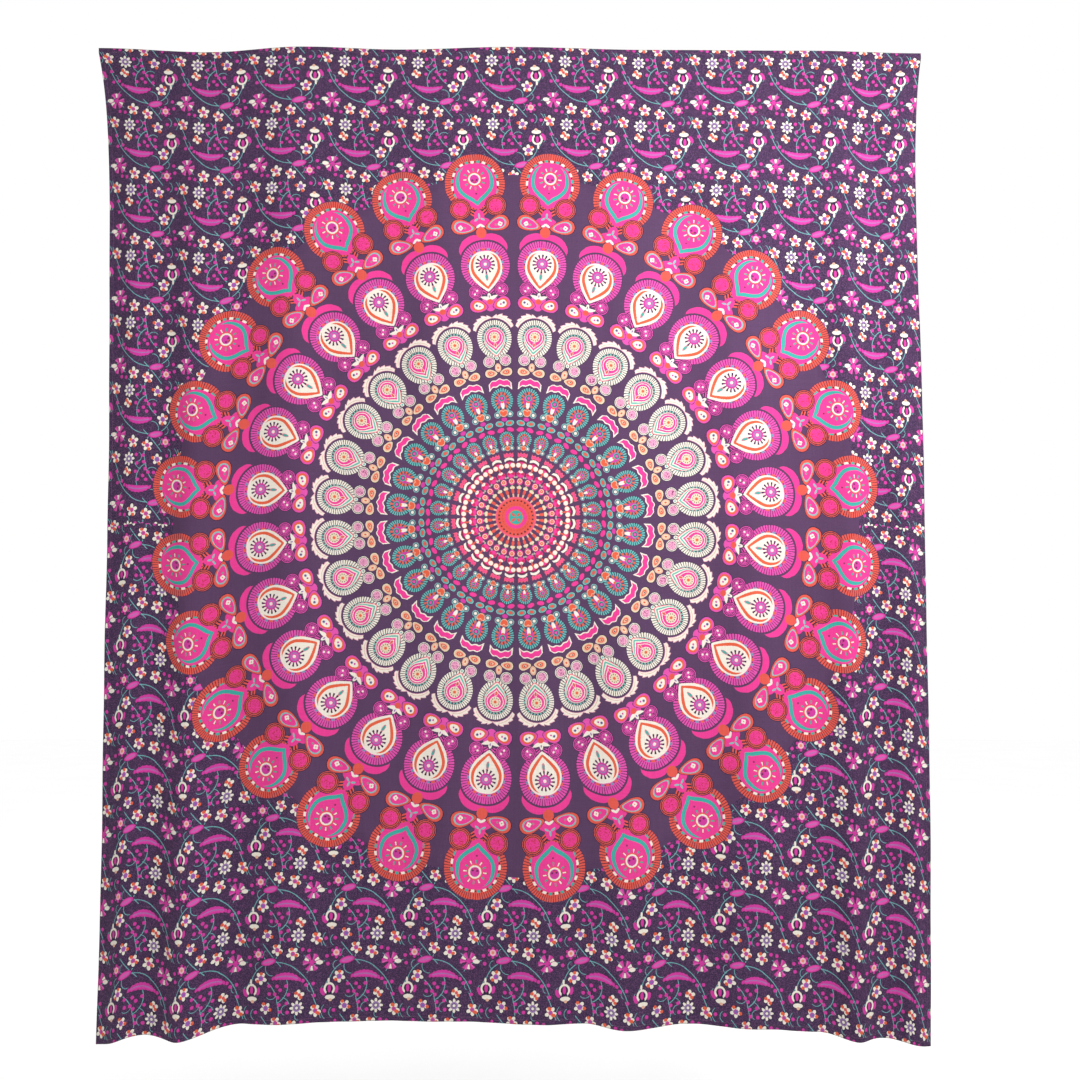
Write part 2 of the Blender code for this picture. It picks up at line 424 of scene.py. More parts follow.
def draw_field(canvas, flat):
    """The flowering vine of the ground, in a tile that repeats. Four copies of the tile, each
    wrapped round another middle, let every motif be drawn where no copy is cut."""
    wide, tall = FIELD_TILE
    copies = {}

    def around(x, y):
        """The copy whose middle is nearest, and the motif's place in it."""
        best = None
        for middle_x in (0.0, wide / 2):
            for middle_y in (0.0, tall / 2):
                local_x = (x - middle_x + wide / 2) % wide - wide / 2
                local_y = (y - middle_y + tall / 2) % tall - tall / 2
                off = max(abs(local_x) / wide, abs(local_y) / tall)
                if best is None or off < best[0]:
                    best = (off, (middle_x, middle_y), (local_x + middle_x, local_y + middle_y))
        _, middle, place = best
        if middle not in copies:
            low = (middle[0] - wide / 2, middle[1] - tall / 2, -1)
            high = (middle[0] + wide / 2, middle[1] + tall / 2, 1)
            copies[middle] = vector_work("WRAP", flat, high, low)
        return copies[middle], place

    def stem(first, through, last, half=0.95, ink=dye(118, 186, 188)):
        """An arc of the circle through three points."""
        (ax, ay), (bx, by), (cx, cy) = first, through, last
        d = 2 * (ax * (by - cy) + bx * (cy - ay) + cx * (ay - by))
        ux = ((ax**2 + ay**2) * (by - cy) + (bx**2 + by**2) * (cy - ay)
              + (cx**2 + cy**2) * (ay - by)) / d
        uy = ((ax**2 + ay**2) * (cx - bx) + (bx**2 + by**2) * (ax - cx)
              + (cx**2 + cy**2) * (bx - ax)) / d
        radius = math.hypot(ax - ux, ay - uy)
        middle = ((ax + cx) / 2, (ay + cy) / 2)
        copy, (mx, my) = around(*middle)
        centre = (ux - middle[0] + mx, uy - middle[1] + my)
        reach = max(math.hypot(ax - cx, ay - cy) / 2,
                    math.hypot(bx - middle[0], by - middle[1]))
        line = between(near(copy, centre), radius - half, radius + half)
        canvas.paint(line * inside(near(copy, (mx, my)), reach), ink)

    def flower(x, y, reach, count, turn, inks):
        """Petals: the outline swells with a cosine wave, count times round."""
        copy, (cx, cy) = around(x, y)
        away = vector_work("SUBTRACT", copy, (cx, cy, 0))
        distance = vector_work("LENGTH", away, output=1)
        angle = work("ARCTAN2", part(away, 1, 0), part(away, 0, 1))
        wave = work("COSINE", work("MULTIPLY_ADD", angle, count / 2, math.radians(turn / 2)))
        lobe = work("POWER", work("ABSOLUTE", wave), 0.62)
        share = distance / work("MULTIPLY_ADD", lobe, 0.80 * reach, 0.20 * reach)
        canvas.discs(share, (1.10, INK_DARK), (0.94, inks[0]))
        canvas.discs(distance, *inks[1:])

    def dots(ink, reach, *places):
        """Round spots of one ink, a copy at a time."""
        groups = {}
        for place in places:
            copy, centre = around(*place)
            groups.setdefault(copy.socket.node.name, (copy, []))[1].append(centre)
        for copy, centres in groups.values():
            canvas.paint(inside(near(copy, *centres), reach), ink)

    stem((-40, -28), (-20, -66), (8, -92))
    stem((4, -90), (30, -104), (60, -107))
    stem((56, -107), (86, -98), (112, -64))
    stem((57, 60), (43, 20), (47, -14))
    stem((47, -14), (54, -38), (72, -60))
    stem((26, -68), (24, -40), (46, -14))
    stem((112, -64), (122, -46), (112, -22), 0.8)
    stem((-56, 26), (-46, -2), (-34, -30))
    stem((86, 18), (66, 42), (40, 70))
    stem((74, -103), (78, -90), (60, -76), 0.8)
    stem((98, -86), (104, -98), (96, -106), 0.7)
    stem((52, -28), (60, -22), (74, -26), 0.7)
    stem((-64, -28), (-56, -36), (-60, -48), 0.7)
    stem((-30, -56), (-24, -44), (-30, -36), 0.7)
    stem((-64, 62), (-40, 70), (-22, 88), 0.8)
    stem((26, -8), (36, 4), (30, 14), 0.7)
    stem((18, -10), (26, -22), (34, -26), 0.7)
    stem((-4, 28), (4, 20), (0, 12), 0.8)
    stem((104, 26), (112, 12), (106, 2), 0.7)
    stem((122, 28), (130, 14), (124, -4), 0.7)
    stem((-14, 46), (-20, 58), (-12, 68), 0.7)
    stem((78, 54), (84, 44), (78, 34), 0.7)
    dots(MAGENTA, 4.3, (22, 9), (40, 7), (24, -12), (42, -9), (46, -26), (20, -32), (40, -43),
         (53, -34), (67, -34), (26, -52), (48, -52), (68, -52), (-87, 9), (-65, 10), (-26, 36),
         (-11, 33), (-40, -26), (-21, -52), (-37, -54), (-68, 51), (-71, 69), (-13, -62))
    petal_inks = ((CREAM, (5.4, dye(225, 80, 160)), (2.4, dye(150, 90, 170))))
    flower(-43, 9, 15.5, 5, 20, petal_inks)
    flower(12, 42, 16.6, 5, 0, petal_inks)
    flower(50, 32, 15.0, 5, 30, petal_inks)
    flower(75, -1, 15.0, 5, 0, (CREAM, (6.2, dye(190, 90, 180)), (3.2, dye(130, 110, 190))))
    flower(89, -69, 16.0, 5, 8, (CREAM, (6.2, dye(205, 80, 185)), (3.2, dye(130, 110, 190))))
    flower(-5, -30, 13.0, 4, 40, (CREAM, (3.8, dye(235, 90, 100))))
    flower(97, 43, 15.0, 6, 0, (MAGENTA, (7.4, dye(250, 200, 210)), (3.6, dye(240, 150, 120))))
    flower(0, 0, 18.0, 8, 0, (CREAM, (8.8, LILAC), (5.4, dye(100, 80, 120)), (3.4, CREAM)))
    dots(ORANGE, 4.0, (-51, 15), (-41, 0), (4, 46), (15, 31), (42, 37), (54, 23), (64, 2), (80, -11),
         (97, -62), (88, -80), (-9, -24), (2, -34), (-39, -1), (-48, 14))
    # The lily: a crown, curved petals, two crescents, a centre and a calyx.
    copy, (x, y) = around(112, -41)
    canvas.discs(oval(copy, (x - 17, y + 2), 9, 4.5, 80), (1, MAGENTA))
    canvas.discs(oval(copy, (x + 16, y + 7), 10, 5, 115), (1, MAGENTA))
    canvas.discs(oval(copy, (x, y), 13.5, 14.5), (1, CREAM), (0.66, INK_DARK))
    canvas.discs(oval(copy, (x, y + 13), 7, 11), (1, INK_DARK))
    canvas.discs(oval(copy, (x, y), 4, 9), (1, MAGENTA))
    canvas.discs(oval(copy, (x - 2, y + 20), 12, 5.5), (1, CREAM))
    canvas.discs(oval(copy, (x - 3, y + 26), 4, 3.5), (1, PEACH))
    canvas.discs(oval(copy, (x + 2, y - 19), 2.6, 6), (1, CREAM))
    # The carnation: magenta petals fanned round a centre, two cream crescents and a calyx.
    copy, (x, y) = around(-33, 64)
    fan = vector_work("SUBTRACT", copy, (x, y, 0))
    distance = vector_work("LENGTH", fan, output=1)
    turned = work("ARCTAN2", part(fan, 1, 0), part(fan, 0, 1)) / math.pi
    canvas.paint(between(distance, 5.5, 21) * beats(turned, 6, 0.52, math.pi), MAGENTA)
    canvas.paint(between(distance, 9.0, 20) * beats(turned, 6, 0.20, math.pi, distance * 0.06),
                 dye(236, 110, 190))
    canvas.paint(between(distance, 8.0, 19) * beats(turned, 3, 0.18), CREAM)
    canvas.discs(distance, (5.5, MAGENTA))
    canvas.discs(oval(copy, (x - 18, y + 1), 8, 5), (1, CREAM))
    # The leaves: a long one with a scalloped edge and a pale midrib, and a short one.
    copy, (x, y) = around(26, -72)
    along, across = squeezed(copy, (x, y), 36, 8.5, -4)
    across = across - along * along * 1.1 + 0.35
    wave = work("MULTIPLY_ADD", work("COSINE", along * 24), 0.07, 1.0)
    leaf = length(along, across) * wave
    canvas.discs(leaf, (1.06, INK_DARK), (0.98, MAGENTA))
    canvas.paint(inside(leaf, 0.8) * between(across, -0.14, 0.14), LILAC)
    canvas.paint(inside(leaf, 0.85) * between(across, 0.30, 0.42), ORCHID)
    copy, (x, y) = around(71, 60)
    leaf = oval(copy, (x, y), 19, 8, 14)
    canvas.discs(leaf, (1.08, INK_DARK), (0.98, MAGENTA), (0.72, ORCHID))
    canvas.discs(oval(copy, (x, y), 15, 1.1, 14), (1, LILAC))


def draw_drop(canvas, place, drop):
    """One row of drops: a fringe of strokes round a ring of dashes round the body. drop holds
    the eye, the outlines of fringe and body, and the counts and inks."""
    reach, turn = polar(place, drop["eye"])
    edge = curve(turn, drop["edge"])
    inner = edge - drop["fringe"]
    canvas.paint(inside(reach, edge + 1.6), PLUM)
    canvas.paint(inside(reach, edge), drop["inks"][0])
    strokes = beats(turn, drop["strokes"], drop["gap"], math.pi, reach * drop["lean"])
    canvas.paint(strokes * inside(inner, reach) * inside(reach, edge + 1.0), INK_DARK)
    canvas.paint(inside(reach, inner), drop["inks"][1])
    body = curve(turn, drop["body"])
    ring = reach - (body + inner) * 0.5
    canvas.paint(between(ring, -drop["dash"], drop["dash"]) * beats(turn, drop["dashes"], 0.30),
                 drop["inks"][2])
    canvas.paint(between(ring, -drop["dash"], drop["dash"])
                 * beats(turn, drop["dashes"], 0.26, math.pi), drop["inks"][3])
    canvas.paint(between(ring, -drop["dash"] / 2, drop["dash"] / 2)
                 * beats(turn, drop["dashes"] * 2, 0.22, math.pi), INK_DARK)
    canvas.paint(inside(reach, body), drop["inks"][4])
    return reach, turn, edge, body


def fold_rays(flat):
    """The round pattern has RAYS alike rays, each mirrored about its own middle line. Gives the
    distance from the middle, the bearing, the angle off the nearest line, and the place on a
    ray: the distance aside from that line and the distance out along it."""
    away = vector_work("LENGTH", flat, output=1)
    bearing = work("ARCTAN2", part(flat, 1, 0), part(flat, 0, 1))
    width = 2 * math.pi / RAYS
    off = work("ABSOLUTE", work("WRAP", bearing, width, 0.0) - width / 2)
    aside = away * work("SINE", off)
    out = away * work("COSINE", off)
    place = add_node(flat.socket.id_data, "CombineXYZ", {0: aside, 1: out})
    return away, bearing, off, aside, out, place


def draw_outer_drops(canvas, place):
    """The outer row, fringed in coral, round a hot-pink drop with a teal band."""
    reach, turn, edge, body = draw_drop(canvas, place, {
        "eye": 858.0,
        "edge": ((0, 64.3), (45, 68), (90, 74.3), (115, 80.1), (130, 81.9), (150, 76), (180, 80)),
        "fringe": 16.0, "strokes": 68, "gap": 0.25, "lean": 0.09,
        "inks": (CORAL, dye(232, 84, 84), CREAM, TEAL, HOT_PINK),
        "body": ((0, 40), (45, 46.6), (90, 53), (120, 61.7), (130, 65.5), (155, 66), (168, 72.8),
                 (180, 79)),
        "dash": 3.2, "dashes": 10})
    outer = curve(turn, ((0, 38), (34, 40), (60, 43.5), (90, 46.9), (120, 51.5), (150, 54.5), (168, 59.5),
                         (180, 69)))
    middle = curve(turn, ((0, 38), (34, 40), (60, 38.8), (90, 38.8), (120, 42.5), (150, 45), (168, 49),
                          (180, 58)))
    canvas.discs(reach - outer, (0.0, TEAL))
    canvas.discs(reach - middle, (0.0, HOT_PINK))
    canvas.paint(between(reach, 18.5, 30.0) * beats(turn, 12, 0.34), dye(228, 70, 90))
    canvas.paint(between(reach, 20.0, 28.6) * beats(turn, 6, 0.13), TEAL)
    canvas.paint(between(reach, 19.6, 28.2) * beats(turn, 6, 0.11, math.pi), CREAM)
    canvas.discs(reach, (18.0, ORANGE), (15.6, CREAM), (11.6, MAGENTA))
    canvas.discs(near(place, (5.4, 855.0), (0, 851.0)), (2.6, dye(120, 40, 90)))
    canvas.discs(near(place, (0, 851.5)), (1.7, ORANGE))
    canvas.discs(near(place, (0, 820.0)), (2.3, dye(130, 50, 90)))
    return inside(body + 2.0, reach)


def draw_mandala(canvas, flat):
    """Everything inside the outer drops, from the middle outwards, and those drops too."""
    tree = flat.socket.id_data
    away, bearing, off, aside, out, place = fold_rays(flat)
    grain = add_node(tree, "TexNoise", {"Vector": flat, "Scale": 0.16, "Detail": 1.0},
                     noise_dimensions="2D")
    curls = between(grain, 0.47, 0.53)

    # The middle: a teal disc with four petals, and rings of magenta, coral and rose.
    canvas.discs(away, (50.4, ROSE), (46.2, CORAL), (27.5, HOT_PINK), (19.6, ORANGE), (17.0, TEAL))
    canvas.paint(between(away, 39.8, 43.6) * inside(off, 0.045), INK_DARK)
    canvas.paint(between(away, 32.2, 33.4) * inside(off, 0.06), dye(200, 70, 80))
    four = work("COSINE", work("MULTIPLY_ADD", bearing, 4.0, math.pi))
    canvas.paint(inside(work("ABSOLUTE", away - 8.0), four * 6.0), CORAL)

    # The bars: short motifs stacked on each ray.
    bars = inside(aside, out * 0.038)
    canvas.paint(between(away, 50.4, 58.0) * bars, PEACH)
    canvas.discs(oval(place, (0, 64.5), 3.6, 6.6), (1.0, CORAL))
    canvas.discs(near(place, (2.6, 73.5), (0, 75)), (3.4, WARM_CREAM))
    canvas.discs(near(place, (0, 79.4)), (2.0, dye(160, 190, 150)))
    canvas.discs(oval(place, (0, 89.0), 7.6, 8.6), (1.0, HOT_PINK))
    canvas.discs(near(place, (0, 90.0)), (6.0, WARM_CREAM), (4.2, CORAL), (1.6, PEACH))
    canvas.discs(near(place, (8.6, 99.0)), (2.4, dye(190, 180, 170)))
    canvas.discs(oval(place, (0, 107.0), 10.0, 8.6), (1.0, HOT_PINK))
    canvas.discs(oval(place, (5.0, 108.0), 3.0, 5.0, 60), (1.0, dye(214, 46, 92)))
    canvas.discs(oval(place, (0, 113.0), 5.4, 3.6), (1.0, CREAM))
    canvas.discs(near(place, (0, 114.6)), (1.7, PEACH))
    canvas.discs(oval(place, (0, 121.0), 2.0, 6.0), (1.0, CORAL))
    canvas.discs(oval(place, (0, 131.0), 8.4, 7.4), (1.0, HOT_PINK))
    canvas.discs(near(place, (7.4, 128.6)), (6.6, CORAL), (5.6, CREAM))
    canvas.discs(oval(place, (0, 125.0), 2.6, 3.4), (1.0, CORAL))
    sagged = work("MULTIPLY_ADD", aside * aside, 0.034, out)
    canvas.paint(between(sagged, 136.4, 139.6) * inside(aside, 9.4), dye(150, 36, 66))
    canvas.paint(between(sagged, 142.2, 148.4) * inside(aside, 11.8), CREAM)
    scallop = work("MULTIPLY_ADD", work("COSINE", aside * 0.75), 1.5, out)
    canvas.paint(between(scallop, 149.4, 158.6) * inside(aside, 12.0), ROSE)
    canvas.paint(between(scallop, 153.0, 155.6) * inside(aside, 10.0), HOT_PINK)

    # The first two rows of drops, both fringed in teal.
    for eye, size, count in ((193.0, 1.0, 22), (292.0, 1.5, 28)):
        reach, turn, edge, body = draw_drop(canvas, place, {
            "eye": eye, "edge": ((0, 20 * size), (90, 18.2 * size), (140, 20 * size), (180, 27 * size)),
            "fringe": 5.6 * size, "strokes": count, "gap": 0.34, "lean": 0.0,
            "inks": (dye(112, 196, 194), dye(74, 110, 140), ORANGE, ORANGE, MAGENTA),
            "body": ((0, 8.5 * size), (90, 7.2 * size), (150, 10 * size), (180, 15 * size)),
            "dash": 2.3 * size, "dashes": 6})
        canvas.discs(oval(place, (0, eye - 8.2 * size), 3.0 * size, 6.6 * size), (1.0, CREAM))
        canvas.discs(near(place, (0, eye - 3.2 * size)), (2.4 * size, ORANGE))
        canvas.discs(near(place, (0, eye + 3.0 * size)), (5.2 * size, TEAL), (3.6 * size, INK_DARK),
                     (2.6 * size, ORCHID))
        canvas.discs(oval(place, (2.3 * size, eye - 22.3 * size), 5.6 * size, 3.6 * size, 58),
                     (1.15, PEACH), (0.85, ORANGE))
        canvas.discs(near(place, (10.6 * size, eye - (29.0 - 5.0 / size) * size + 2)),
                     (5.2 * size, PALE_TEAL), (4.0 * size, dye(90, 110, 120)), (2.5 * size, CREAM))
    canvas.discs(oval(place, (12.0, 217.0), 9.0, 5.2, -20), (1.0, HOT_PINK))
    lobe = oval(place, (12.4, 233.0), 10.8, 7.0, 8)
    canvas.discs(lobe, (1.1, INK_DARK), (1.0, PALE_TEAL), (0.78, dye(90, 170, 160)), (0.5, CORAL))
    canvas.discs(oval(place, (0, 243.0), 7.0, 5.0), (1.0, MAGENTA))
    sagged = work("MULTIPLY_ADD", aside * aside, 0.013, out)
    sagged = work("MULTIPLY_ADD", work("COSINE", aside * 0.33), -1.6, sagged)
    canvas.paint(between(sagged, 327.6, 345.6) * inside(aside, 28.6), CREAM)
    canvas.paint(between(sagged, 330.6, 343.2) * inside(aside, 25.6), HOT_PINK)

    # The third row, fringed in cream, under peach lobes and spirals.
    reach, turn, edge, body = draw_drop(canvas, place, {
        "eye": 451.7,
        "edge": ((0, 42), (60, 42.2), (90, 42.6), (120, 45), (150, 50), (180, 58)),
        "fringe": 12.0, "strokes": 44, "gap": 0.30, "lean": 0.02,
        "inks": (CREAM, PLUM, dye(120, 200, 185), dye(120, 200, 185), ROSE),
        "body": ((0, 24.5), (60, 25.5), (90, 27), (120, 30.5), (150, 36), (180, 50)),
        "dash": 1.9, "dashes": 11})
    heart = curve(turn, ((0, 22.5), (60, 23), (90, 24), (120, 24.5), (150, 26), (168, 29), (180, 35)))
    canvas.discs((reach - heart) / (body - heart), (1.0, ROSE), (0.82, CREAM),
                 (0.58, dye(110, 196, 180)), (0.26, CREAM), (0.0, HOT_PINK))
    canvas.discs(reach - heart * 0.82, (0.8, CREAM), (-1.0, HOT_PINK))
    canvas.discs(reach, (13.2, CREAM), (11.8, WARM_CREAM))
    canvas.paint(between(reach, 8.0, 11.2) * beats(turn, 11, 0.30), INK_DARK)
    canvas.discs(reach, (4.2, PEACH), (3.4, ORANGE))
    canvas.discs(oval(place, (0, 431.0), 2.6, 5.4), (1.3, CREAM), (1.0, CORAL))
    canvas.discs(near(place, (0, 398.0)), (4.6, CREAM), (2.6, dye(134, 204, 193)))
    wave = work("MULTIPLY_ADD", work("FRACT", turn * 13.5), -4.5, reach - edge)
    feather = curve(turn, ((0, 7.0), (14, 12), (30, 16), (50, 15), (66, 9), (76, 0), (95, 0), (180, 0)))
    canvas.paint(inside(wave, feather) * inside(edge + 5.0, reach), dye(255, 190, 205))
    canvas.paint(inside(wave + 1.8, feather) * inside(edge + 6.4, reach), CREAM)
    canvas.paint(between(reach - edge - feather * 0.5, 1.6, 3.0) * inside(edge + 8.4, reach)
                 * inside(turn, 0.38), dye(236, 190, 170))
    spiral = near(place, (20.4, 391.0))
    canvas.discs(spiral, (15.8, INK_DARK), (14.4, CREAM), (12.6, INK_DARK), (11.2, CREAM),
                 (10.0, dye(250, 170, 205)))
    canvas.paint(inside(spiral, 9.0) * curls, dye(150, 50, 110))
    canvas.discs(oval(place, (0, 374.0), 7.6, 11.0), (1.0, PEACH), (0.6, WARM_CREAM), (0.3, ORANGE))
    lobe = teardrop(place, (18.6, 361.0), 15.0, 9.6, 4, 0.35)
    canvas.discs(lobe, (1.12, INK_DARK), (1.0, WARM_CREAM), (0.8, PEACH), (0.56, ORANGE), (0.32, PEACH))
    canvas.discs(near(place, (20.0, 361.5)), (1.5, INK_DARK))

    # The fourth row, fringed in orchid, with a cream and orange drop inside.
    reach, turn, edge, body = draw_drop(canvas, place, {
        "eye": 638.0,
        "edge": ((0, 58), (45, 60), (90, 61.1), (130, 64), (150, 66), (180, 69)),
        "fringe": 15.6, "strokes": 54, "gap": 0.25, "lean": 0.07,
        "inks": (ORCHID, ORCHID, ORANGE, dye(120, 160, 190), CREAM),
        "body": ((0, 33.5), (45, 37), (90, 41), (120, 46), (145, 52), (165, 60), (180, 71)),
        "dash": 2.6, "dashes": 10})
    outer = curve(turn, ((0, 30), (28, 31), (60, 34.5), (90, 36.6), (120, 40.5), (145, 45), (165, 53),
                         (180, 64)))
    canvas.discs(reach - outer, (0.0, ORANGE))
    middle = curve(turn, ((0, 30), (28, 31), (60, 29.6), (90, 30), (120, 33), (145, 37), (165, 45),
                          (180, 57)))
    canvas.discs(reach - middle, (0.0, CREAM))
    canvas.paint(between(reach, 14.0, 24.4) * beats(turn, 14, 0.46, 0.0), dye(150, 50, 120))
    canvas.paint(between(reach, 19.0, 24.4) * beats(turn, 14, 0.34, 0.0), INK_DARK)
    canvas.discs(reach, (14.8, MAGENTA), (10.4, LILAC), (7.4, ORCHID), (4.0, CREAM))
    canvas.discs(oval(place, (0, 604.7), 2.8, 7.2), (1.35, dye(240, 110, 150)), (1.0, TEAL))
    wing = curve(turn, ((0, 9), (8, 13), (26, 17), (46, 13), (60, 5), (66, 0), (90, 0), (180, 0)))
    canvas.paint(inside(reach - edge - 5.0, wing) * inside(edge + 5.0, reach), HOT_PINK)
    outside = inside(body + 1.5, reach)
    canvas.paint(inside(oval(place, (15.0, 574.0), 15.0, 7.6, 48), 1.0) * outside, INK_DARK)
    canvas.paint(inside(oval(place, (15.0, 573.0), 15.0, 7.0, 48), 1.0) * outside
                 * beats(out, 0.26, 0.56, 0.0, aside * -0.6), ORCHID)
    spiral = near(place, (32.5, 569.0))
    canvas.discs(spiral, (18.6, INK_DARK), (17.2, ORCHID), (15.2, INK_DARK), (13.4, ORCHID),
                 (11.8, INK_DARK), (10.6, ORCHID))
    canvas.paint(inside(spiral, 10.0) * curls, INK_DARK)
    canvas.discs(near(place, (28.6, 572.4), (35.0, 564.0)), (2.6, CREAM))
    star = oval(place, (0, 547.0), 18.0, 9.0)
    canvas.discs(star, (1.0, ORCHID))
    canvas.discs(teardrop(place, (11.0, 552.0), 11.0, 4.2, 20, -0.5), (1.0, CREAM))
    canvas.discs(oval(place, (0, 555.0), 4.2, 9.0), (1.0, CREAM), (0.4, LILAC))
    canvas.discs(oval(place, (0, 530.0), 13.0, 13.0), (1.0, ORCHID))
    canvas.discs(oval(place, (0, 541.0), 8.0, 7.0), (1.0, CORAL))
    lobe = teardrop(place, (28.7, 533.0), 22.0, 16.0, 14, 0.30)
    canvas.discs(lobe, (1.07, INK_DARK), (1.0, ORCHID), (0.80, ORANGE), (0.56, CREAM))
    canvas.discs(near(place, (34.0, 535.0)), (3.4, dye(150, 140, 190)), (1.6, INK_DARK))
    canvas.discs(near(place, (26.4, 532.0)), (2.4, MAGENTA))

    # The feathers, spirals and paisleys below the outer row.
    outside = draw_outer_drops(canvas, place)
    canvas.paint(inside(oval(place, (18.0, 776.0), 19.0, 8.0, 56), 1.0) * outside, INK_DARK)
    canvas.paint(inside(oval(place, (17.0, 775.0), 18.0, 7.4, 56), 1.0) * outside
                 * beats(out, 0.22, 0.56, 0.0, aside * -0.5), CORAL)
    spiral = near(place, (45.2, 784.0))
    canvas.discs(spiral, (27.4, INK_DARK), (25.6, CORAL), (24.0, INK_DARK), (22.0, CORAL),
                 (19.6, INK_DARK), (18.0, CORAL), (16.4, HOT_PINK))
    canvas.paint(inside(spiral, 17.0) * curls, dye(205, 50, 60))
    canvas.discs(oval(place, (0, 745.0), 26.0, 13.0), (1.0, HOT_PINK))
    canvas.discs(oval(place, (0, 760.0), 13.0, 18.0), (1.0, HOT_PINK))
    canvas.discs(oval(place, (0, 762.0), 2.4, 7.0), (1.0, PALE_TEAL))
    canvas.discs(oval(place, (8.0, 753.0), 6.0, 2.4, -30), (1.0, PALE_TEAL))
    canvas.discs(oval(place, (4.0, 737.0), 8.0, 3.0, -35), (1.0, CREAM))
    canvas.discs(oval(place, (0, 719.0), 13.0, 14.0), (1.0, CORAL))
    lobe = teardrop(place, (42.0, 737.0), 31.0, 17.6, 13, 0.42)
    canvas.discs(lobe, (1.06, INK_DARK), (1.0, CORAL), (0.78, PALE_TEAL), (0.66, HOT_PINK))
    canvas.discs(near(place, (47.0, 735.4), (53.0, 736.8), (49.4, 739.4), (50.6, 733.0)), (3.2, CREAM))
    canvas.discs(near(place, (50.0, 736.2)), (1.6, CORAL))
    canvas.discs(near(place, (39.0, 735.0)), (2.6, dye(150, 160, 150)))


def draw_print(name, vine, rays):
    """The print as a node group, from a place on the flat cloth to its colour. One group would
    hold more than a shader can keep at once, so there are three: the middle has rays and no vine,
    the border has the vine and no rays, and the rim between has both, but only the outer drops.
    The place is moved a little by fine noise, which frays the inks' edges as woven cotton does."""
    group = bpy.data.node_groups.new(name, "ShaderNodeTree")
    group.interface.new_socket("Flat", in_out="INPUT", socket_type="NodeSocketVector")
    group.interface.new_socket("Colour", in_out="OUTPUT", socket_type="NodeSocketColor")
    entry, leave = group.nodes.new("NodeGroupInput"), group.nodes.new("NodeGroupOutput")
    flat = vector_work("MULTIPLY", Term(entry.outputs[0]), (MM, MM, 0))
    fray = add_node(group, "TexNoise", {"Vector": flat, "Scale": 0.5, "Detail": 2.0}, "Color",
                    noise_dimensions="2D")
    flat = vector_work("MULTIPLY_ADD", fray, (1.8, 1.8, 0), flat)
    flat = vector_work("MULTIPLY", vector_work("SUBTRACT", flat, (0.9, 0.9, 0)), (1, 1, 0))
    speckle = add_node(group, "TexNoise", {"Vector": flat, "Scale": 0.35, "Detail": 1.0},
                       noise_dimensions="2D")
    canvas = Canvas(add_node(group, "Mix", {
        0: between(speckle, 0.44, 0.56), 6: INK_DARK if vine else PLUM,
        7: dye(112, 74, 116) if vine else dye(98, 68, 104)}, 2, data_type="RGBA"))
    if vine:
        turned = work("MULTIPLY_ADD", work("GREATER_THAN", part(flat, 0, 1), 0.0), 2.0, -1.0)
        field = vector_work("SCALE", flat)
        group.links.new(turned.socket, field.socket.node.inputs["Scale"])
        draw_field(canvas, vector_work("ADD", field, (0.25 * FIELD_TILE[0], 0.05 * FIELD_TILE[1], 0)))
    if vine and rays:
        away, *_, place = fold_rays(flat)
        canvas.paint(inside(away, DISC_REACH), PLUM)
        draw_outer_drops(canvas, place)
    elif rays:
        draw_mandala(canvas, flat)
    group.links.new(canvas.colour.socket, leave.inputs[0])
    return group


def worked_material(name, roughness):
    """A new material with nodes, its tree and its shader."""
    material = bpy.data.materials.new(name)
    material.use_nodes = True
    shader = material.node_tree.nodes["Principled BSDF"]
    shader.inputs["Roughness"].default_value = roughness
    return material, material.node_tree, shader


